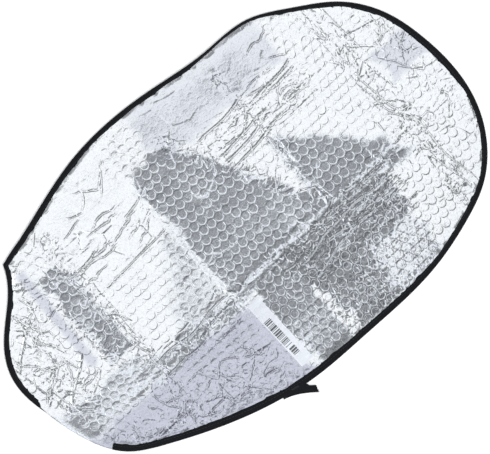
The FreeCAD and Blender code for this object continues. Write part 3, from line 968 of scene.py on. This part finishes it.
def film_material():
    """Metallised film: a finely crinkled mirror. Each bay leans, and mirrors another part of the room; each
    bay's grey is also painted into its colour as painted reflection shade.
    """
    material, graph = new_material("film_crinkled")
    greyness = graph.attribute("tone")
    mottle = graph.noise(6.0, 4.0, 0.6)
    shade = graph.scaled(graph.value("SUBTRACT", mottle, 0.5), 0.3, greyness, clamp=True)
    dim = graph.ramp(greyness, 0.95, 1.5)
    # painted reflection shade: bright bays are painted near white, grey bays grey
    colour = graph.mix(shade, rgb(0.95, 0.965, 0.975), rgb(0.84, 0.87, 0.92))
    # painted reflection: a faint violet where the film is meant to mirror a violet part of the room
    colour = graph.mix(graph.attribute("violet_reflection"), colour, rgb(0.60, 0.612, 0.70))
    # painted shade: the dimmest bays are painted darker still, as if mirroring a dark part of the room
    colour = graph.mix(dim, colour, rgb(0.74, 0.765, 0.80))
    grain = graph.noise(2.4, 3.0, 0.65)
    speckle = graph.value("SUBTRACT", 1.0, graph.ramp(grain, 0.36, 0.56))
    speckle = graph.times(speckle, graph.scaled(shade, 0.12, 0.12))
    colour = graph.mix(speckle, colour, rgb(0.2, 0.21, 0.23))
    # painted shade in the hollows of the folds
    painted_fold_shade_share = graph.times(graph.attribute("painted_fold_shade"), 0.8)
    colour = graph.mix(painted_fold_shade_share, colour, rgb(0.10, 0.105, 0.12))

    crinkle = graph.add("ShaderNodeTexVoronoi", [("Vector", graph.place), ("Scale", 0.3)],
                        feature="DISTANCE_TO_EDGE")
    folds = graph.value("MINIMUM", crinkle.outputs["Distance"], 0.12)
    normal = graph.bump(graph.noise(8.0, 3.0, 0.5), 0.16)
    normal = graph.bump(folds, 0.25, normal)
    normal = graph.bump(graph.noise(1.9, 4.0, 0.6), 0.11, normal)
    # bright film leans towards -Y, where the bright panel is, grey film is level, dim film leans towards +Y
    lean = graph.scaled(graph.value("POWER", shade, 1.3), -FILM_TILT, FILM_TILT)
    lean = graph.scaled(dim, -DIM_TILT, lean)
    shift = graph.add("ShaderNodeVectorMath", [(0, (0.0, -1.0, 0.0)), ("Scale", lean)], operation="SCALE")
    leaned = graph.add("ShaderNodeVectorMath", [(0, normal), (1, shift.outputs[0])], operation="ADD")
    normal = graph.add("ShaderNodeVectorMath", [(0, leaned.outputs[0])], operation="NORMALIZE").outputs[0]
    rough = graph.scaled(graph.noise(14.0), 0.12, 0.07)
    rough = graph.scaled(greyness, 0.05, rough)
    graph.finish(Base_Color=colour, Metallic=1.0, Roughness=rough, Normal=normal)
    return material


YARN_PITCH = 1.3


def tape_material():
    """Black woven tape: a tight over-and-under weave of flat yarns, matt, with a little sheen and lint."""
    material, graph = new_material("edge_tape_weave")
    yarn = 2 * math.pi / YARN_PITCH
    rib = graph.value("SINE", graph.times(graph.attribute("weave_along"), yarn))
    cross_rib = graph.value("SINE", graph.times(graph.attribute("weave_across"), yarn * 1.25))
    weave = graph.times(rib, cross_rib)
    fuzz = graph.noise(0.7, 4.0, 0.7)
    worn = graph.value("GREATER_THAN", graph.noise(11.0, 4.0, 0.6), 0.72)
    lit = graph.scaled(weave, 0.25, graph.scaled(fuzz, 0.5, 0.1), clamp=True)
    colour = graph.mix(lit, rgb(0.0035, 0.004, 0.005), rgb(0.012, 0.013, 0.016))
    colour = graph.mix(worn, colour, rgb(0.016, 0.017, 0.02))
    normal = graph.bump(fuzz, 0.12, graph.bump(weave, 0.10))
    rough = graph.scaled(fuzz, 0.2, 0.68)
    graph.finish(Base_Color=colour, Roughness=rough, Normal=normal, Specular_IOR_Level=0.18,
                 Sheen_Weight=0.04, Sheen_Roughness=0.5)
    return material


def thread_material():
    """Black sewing thread: twisted, slightly glossier than the tape."""
    material, graph = new_material("seam_thread_twist")
    inputs = [("Vector", graph.place), ("Scale", 1.6), ("Distortion", 0.6)]
    twist = graph.add("ShaderNodeTexWave", inputs, bands_direction="DIAGONAL")
    lint = graph.noise(1.5, 3.0, 0.6)
    colour = graph.mix(lint, rgb(0.012, 0.012, 0.014), rgb(0.035, 0.036, 0.04))
    normal = graph.bump(twist.outputs["Fac"], 0.06)
    graph.finish(Base_Color=colour, Roughness=0.55, Normal=normal, Specular_IOR_Level=0.35)
    return material


def label_material():
    """Pale printed film, a little glossy, stained and finely creased."""
    material, graph = new_material("label_film")
    stain = graph.noise(7.0, 4.0, 0.6)
    colour = graph.mix(stain, rgb(0.70, 0.73, 0.79), rgb(0.84, 0.87, 0.91))
    normal = graph.bump(graph.noise(3.0, 5.0, 0.6), 0.12)
    normal = graph.bump(graph.noise(1.2, 4.0, 0.6), 0.05, normal)
    rough = graph.scaled(stain, 0.2, 0.22)
    graph.finish(Base_Color=colour, Metallic=0.12, Roughness=rough, Normal=normal)
    return material


def ink_material():
    """Printing ink on the label, thin enough for the film's grain to show."""
    material, graph = new_material("label_ink")
    worn = graph.noise(1.1, 4.0, 0.7)
    wear = graph.scaled(worn, 1.6, -0.55, clamp=True)
    colour = graph.mix(wear, rgb(0.035, 0.037, 0.045), rgb(0.30, 0.31, 0.34))
    graph.finish(Base_Color=colour, Roughness=0.45, Normal=graph.bump(worn, 0.03))
    return material


# ---- build the pad

# the panels that each piece stands for: the piece round an end fold also covers the end panel
COVERED = (("left_end", "left_inner"), ("centre",), ("right_inner",), ("right_end",))


def dress(pieces, material, layer):
    """Gives a layer's pieces their material and slot, and hides the CAD nodes that they stand for."""
    for piece, panels in zip(pieces, COVERED):
        piece.data.materials.append(material)
        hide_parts(*(panel + "_" + layer for panel in panels))


film, tape, thread = film_material(), tape_material(), thread_material()
top_sheets = sheet_pieces("face_film", FACE_STEP, face_heights, 1.0, ("upper", "lower"))
dress(top_sheets[0::2], film, "face_film")
dress(top_sheets[1::2], film, "bubble_film")
back_sheets = sheet_pieces("back_film", BACK_STEP, back_heights, -1.0, ("whole",))
dress(back_sheets, film, "back_film")
dress(tape_pieces(), tape, "edge_tape")
dress(stitch_pieces(), thread, "seam_thread")
label_piece(label_material(), ink_material())
tail_piece(tape)
tack_piece(thread)


# ---- stage, light and camera

FLOOR_REACH = 30000.0
FLOOR_Z = -0.2
FLOOR_GLOW = 0.14


def floor():
    corners = [(x * FLOOR_REACH, y * FLOOR_REACH, FLOOR_Z) for x, y in ((-1, -1), (1, -1), (1, 1), (-1, 1))]
    plane = mesh_object("floor", corners, [(0, 1, 2, 3)])
    material, graph = new_material("pale_floor")
    colour = graph.mix(graph.noise(40.0), rgb(0.95), rgb(0.97))
    graph.finish(Base_Color=colour, Roughness=0.9, Emission_Color=rgb(1.0), Emission_Strength=FLOOR_GLOW)
    plane.data.materials.append(material)


CEILING_LEVEL = 0.35
DARK_LEVEL = 0.10
HORIZON_LEVEL = 1.2
WALL_LEVEL = 0.85
PANEL_LEVEL = 1.06
WINDOW_LEVEL = 1.7


def studio():
    """A pale studio with a dim ceiling, a bright horizon, an arched panel at -Y and a window to each end.

    Places in the sky are given as degrees away from straight up.
    """
    world = bpy.data.worlds.new("studio")
    bpy.context.scene.world = world
    world.use_nodes = True
    graph = Graph(world.node_tree)
    direction = graph.add("ShaderNodeTexCoord").outputs["Generated"]
    parts = graph.add("ShaderNodeSeparateXYZ", [(0, direction)]).outputs
    height = parts["Z"]
    square = graph.value("SUBTRACT", 1.0, graph.times(height, height))
    level_part = graph.value("SQRT", graph.value("MAXIMUM", square, 1e-6))
    facing = graph.value("DIVIDE", graph.times(parts["Y"], -1.0), level_part)
    sideways = graph.value("DIVIDE", graph.value("ABSOLUTE", parts["X"]), level_part)

    def blend_to(level, share, goal):
        return graph.value("ADD", level, graph.times(share, graph.value("SUBTRACT", goal, level)))

    def fade(zero_at, one_at):
        return graph.ramp(height, math.cos(math.radians(zero_at)), math.cos(math.radians(one_at)))

    def ring(start, first_full, last_full, end):
        return graph.times(fade(start, first_full), fade(end, last_full))

    level = blend_to(CEILING_LEVEL, ring(18, 32, 46, 60), DARK_LEVEL)
    level = blend_to(level, fade(52, 68), HORIZON_LEVEL)
    behind = graph.value("SUBTRACT", 1.0, graph.ramp(facing, -0.5, 0.1))
    level = blend_to(level, graph.times(behind, fade(36, 50)), WALL_LEVEL)
    window = graph.times(ring(22, 28, 40, 46), graph.ramp(sideways, 0.80, 0.92))
    level = blend_to(level, window, WINDOW_LEVEL)
    arch = graph.times(ring(6, 12, 36, 46), graph.ramp(facing, -0.1, 0.45))
    level = blend_to(level, arch, PANEL_LEVEL)
    light = graph.add("ShaderNodeBackground", [("Color", rgb(0.955, 0.975, 1.0)), ("Strength", level)])
    graph.add("ShaderNodeOutputWorld", [("Surface", light.outputs[0])])


def key_light():
    data = bpy.data.lights.new("soft_key", "AREA")
    data.shape = "DISK"
    data.size = 1.2
    data.energy = 30.0
    lamp = add_object("soft_key", data)
    lamp.location = (0.35, -1.5, 1.9)
    # the film mirrors the room alone, so the lamp makes no glare on it
    lamp.visible_glossy = False
    lamp.rotation_euler = (-lamp.location).to_track_quat("-Z", "Y").to_euler()


CAMERA_TURN = -42.63
CAMERA_PLACE = (0.0078, 0.0011, 2.5)
FRAME_WIDTH = 0.5546


def camera():
    """Looks straight down; its lens takes in the frame width at the floor."""
    data = bpy.data.cameras.new("camera")
    data.sensor_width = 36.0
    data.lens = data.sensor_width * CAMERA_PLACE[2] / FRAME_WIDTH
    data.clip_end = 100.0
    eye = add_object("camera", data)
    eye.location = CAMERA_PLACE
    eye.rotation_euler = (0.0, 0.0, math.radians(CAMERA_TURN))
    bpy.context.scene.camera = eye


floor()
studio()
key_light()
camera()
bpy.context.scene.view_settings.view_transform = "Standard"
